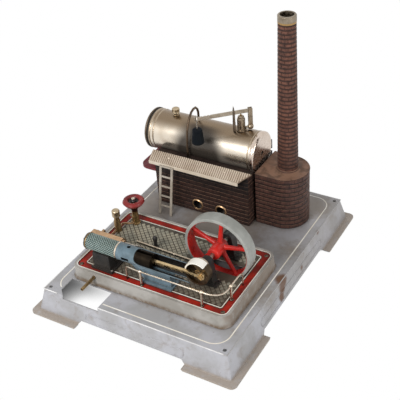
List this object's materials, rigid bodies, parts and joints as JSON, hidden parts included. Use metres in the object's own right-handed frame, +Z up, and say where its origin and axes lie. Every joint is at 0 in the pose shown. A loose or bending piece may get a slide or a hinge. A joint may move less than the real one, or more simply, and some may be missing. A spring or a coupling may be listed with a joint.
{
  "type": "model steam engine",
  "caption": "Tabletop steam plant: a fired boiler with safety valve on a brick-pattern house and chimney, and a horizontal slide-valve engine with flywheel, on a pressed-steel stand.",
  "frame": {"origin": "centre of the stand's footprint, on the surface it stands on", "axes": "+X along the engine, from the cylinder to the crank; +Y from the engine to the boiler; +Z up"},
  "size_m": [0.326, 0.403, 0.3625],
  "materials": {
    "stand_paint": "worn silver-grey enamel",
    "bed_paint": "grey-green enamel",
    "tread_paint": "printed chequer enamel",
    "brick_paint": "embossed brick, dark red-brown",
    "cream_paint": "cream enamel",
    "red_paint": "dull red enamel",
    "wheel_paint": "bright red enamel, pale rim",
    "blue_paint": "steel-blue enamel",
    "cladding_paint": "blue-green enamel with fine diamonds",
    "black_paint": "black enamel",
    "nickel": "aged nickel plate",
    "steel": "dull bright steel",
    "brass": "tarnished brass",
    "copper": "browned copper",
    "glass": "clear",
    "rubber": "aged fibre gasket"
  },
  "bodies": {
    "root": {"base_plate": "stand_paint", "engine_bed": "bed_paint", "tread_plate": "tread_paint", "bed_screw_1": "steel", "bed_screw_2": "steel", "bed_screw_3": "steel", "bed_screw_4": "steel", "boiler_house": "brick_paint", "chimney_house": "brick_paint", "chimney_stack": "brick_paint", "chimney_cap": "nickel", "porthole_ring_1": "brass", "porthole_ring_2": "brass", "canopy": "cream_paint", "fire_door_awning": "red_paint", "ladder": "cream_paint", "boiler_shell": "nickel", "boiler_end_cap": "nickel", "gauge_gasket": "rubber", "gauge_glass": "glass", "gauge_bezel": "nickel", "level_tap": "black_paint", "steam_pipe": "copper", "safety_valve_body": "steel", "lever_pivot_post": "steel", "lever_guide": "steel", "cylinder_barrel": "steel", "cylinder_cladding": "cladding_paint", "cylinder_rear_cover": "black_paint", "cylinder_front_cover": "nickel", "cylinder_pedestal": "black_paint", "valve_chest": "copper", "trunk_guide": "blue_paint", "front_bearing": "black_paint", "rear_bearing": "black_paint", "regulator_valve": "brass", "lubricator_body": "brass", "steam_inlet_pipe": "copper", "bollard": "black_paint", "handrail": "steel", "exhaust_pipe": "copper"},
    "crank": {"crankshaft": "steel", "crank_disc": "brass", "crank_pin": "brass", "eccentric_sheave": "steel", "flywheel": "wheel_paint"},
    "con_rod": {"connecting_rod": "nickel"},
    "eccentric_link": {"eccentric_rod": "nickel"},
    "crosshead_unit": {"crosshead": "brass", "piston_rod": "steel", "piston": "steel"},
    "valve_rod": {"slide_valve_rod": "steel"},
    "regulator_wheel": {"regulator_handwheel": "red_paint"},
    "lever": {"safety_lever": "nickel"},
    "stem": {"safety_valve_stem": "brass"},
    "weight": {"weight_hook": "steel", "valve_weight": "black_paint"},
    "tray": {"burner_tray": "black_paint"},
    "filler": {"filler_plug": "brass"},
    "oiler_cap": {"lubricator_cap": "brass"}
  },
  "joints": [
    {"name": "crank_spin", "type": "hinge", "parent": "root", "child": "crank", "pos_m": [0.0665, 0, 0.0905], "axis": [0, 1, 0], "continuous": true},
    {"name": "con_rod_swing", "type": "hinge", "parent": "crank", "child": "con_rod", "pos_m": [0.07533, -0.12, 0.09222], "axis": [0, 1, 0], "continuous": true},
    {"name": "eccentric_rod_swing", "type": "hinge", "parent": "crank", "child": "eccentric_link", "pos_m": [0.06583, -0.102, 0.09394], "axis": [0, 1, 0], "continuous": true},
    {"name": "crosshead_slide", "type": "slide", "parent": "root", "child": "crosshead_unit", "axis": [1, 0, 0], "range_m": [-0.01785, 0.00014]},
    {"name": "valve_slide", "type": "slide", "parent": "root", "child": "valve_rod", "axis": [1, 0, 0], "range_m": [-0.0028, 0.0041]},
    {"name": "regulator_turn", "type": "hinge", "parent": "root", "child": "regulator_wheel", "pos_m": [-0.096, -0.021, 0.1], "axis": [0, 0, 1], "range_deg": [0, 540]},
    {"name": "lever_lift", "type": "hinge", "parent": "root", "child": "lever", "pos_m": [0.02574, 0.12155, 0.2013], "axis": [-0.682, 0.7314, 0], "range_deg": [0, 8]},
    {"name": "valve_stem_lift", "type": "slide", "parent": "root", "child": "stem", "axis": [0, 0, 1], "range_m": [0, 0.002]},
    {"name": "weight_swing", "type": "hinge", "parent": "lever", "child": "weight", "pos_m": [-0.03248, 0.06726, 0.2013], "axis": [0, 1, 0], "range_deg": [-15, 15]},
    {"name": "burner_tray_slide", "type": "slide", "parent": "root", "child": "tray", "axis": [-1, 0, 0], "range_m": [0, 0.115]},
    {"name": "filler_plug_lift", "type": "slide", "parent": "root", "child": "filler", "axis": [0, 0, 1], "range_m": [0, 0.012]},
    {"name": "oiler_cap_lift", "type": "slide", "parent": "root", "child": "oiler_cap", "axis": [0, 0, 1], "range_m": [0, 0.008]}
  ],
  "couplings": [
    {"joint": "con_rod_swing", "follows": "crank_spin", "ratio": -1},
    {"joint": "eccentric_rod_swing", "follows": "crank_spin", "ratio": -1},
    {"joint": "valve_stem_lift", "follows": "lever_lift", "m_per_rad": 0.014}
  ]
}
